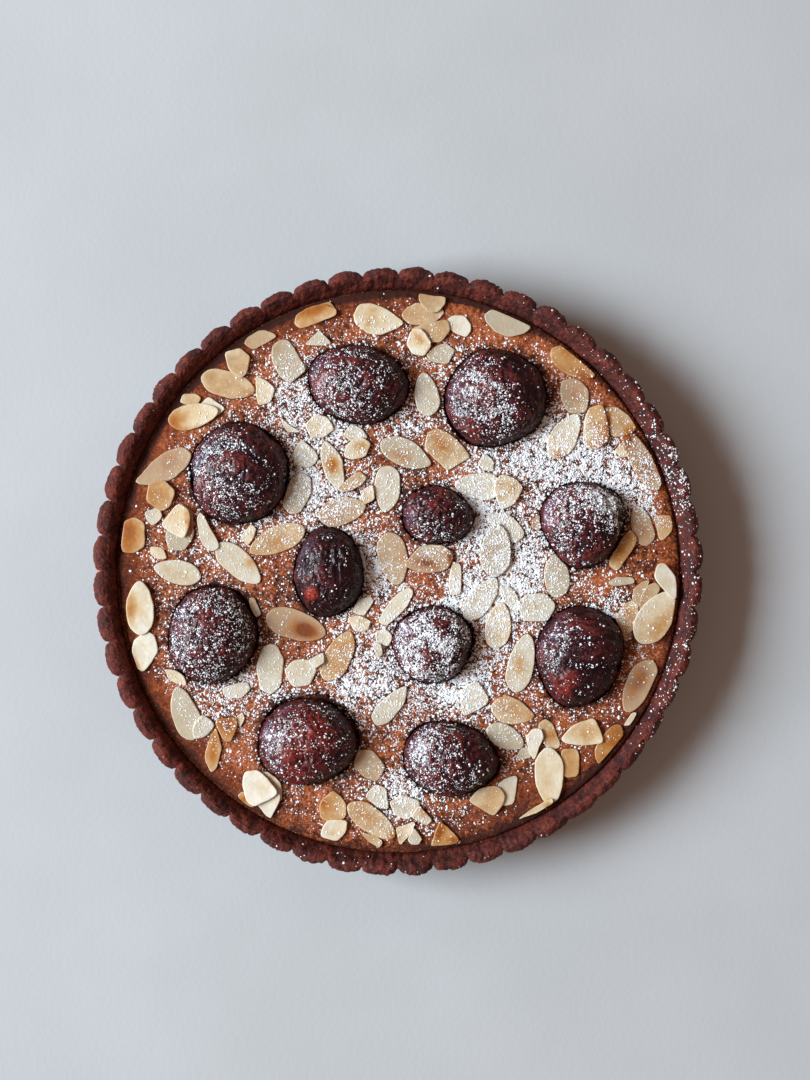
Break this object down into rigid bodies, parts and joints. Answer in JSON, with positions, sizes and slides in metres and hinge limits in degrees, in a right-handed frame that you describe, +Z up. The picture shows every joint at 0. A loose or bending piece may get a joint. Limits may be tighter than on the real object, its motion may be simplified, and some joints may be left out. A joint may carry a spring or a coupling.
{
  "type": "chestnut tart",
  "caption": "Round uncut tart with a fluted cocoa crust, almond filling, whole dark chestnuts and flaked almonds under powdered sugar.",
  "frame": {"origin": "middle of the tart's flat underside", "axes": "+Z up through the tart's thickness; +X to the right and +Y away as seen from above with the small chestnut right of the middle"},
  "size_m": [0.2401, 0.2396, 0.0382],
  "materials": {
    "crust": "dry dark cocoa shortcrust, crumbly",
    "filling": "baked golden brown almond filling, grainy",
    "chestnut": "syrupy dark maroon skin with veins",
    "almond": "toasted flaked almond, satin",
    "sugar": "powdered sugar, matt"
  },
  "bodies": {
    "root": {"crust": "crust", "filling": "filling", "chestnut_01": "chestnut", "chestnut_02": "chestnut", "chestnut_03": "chestnut", "chestnut_04": "chestnut", "chestnut_05": "chestnut", "chestnut_06": "chestnut", "chestnut_07": "chestnut", "chestnut_08": "chestnut", "chestnut_09": "chestnut", "chestnut_10": "chestnut", "chestnut_11": "chestnut"}
  },
  "joints": []
}
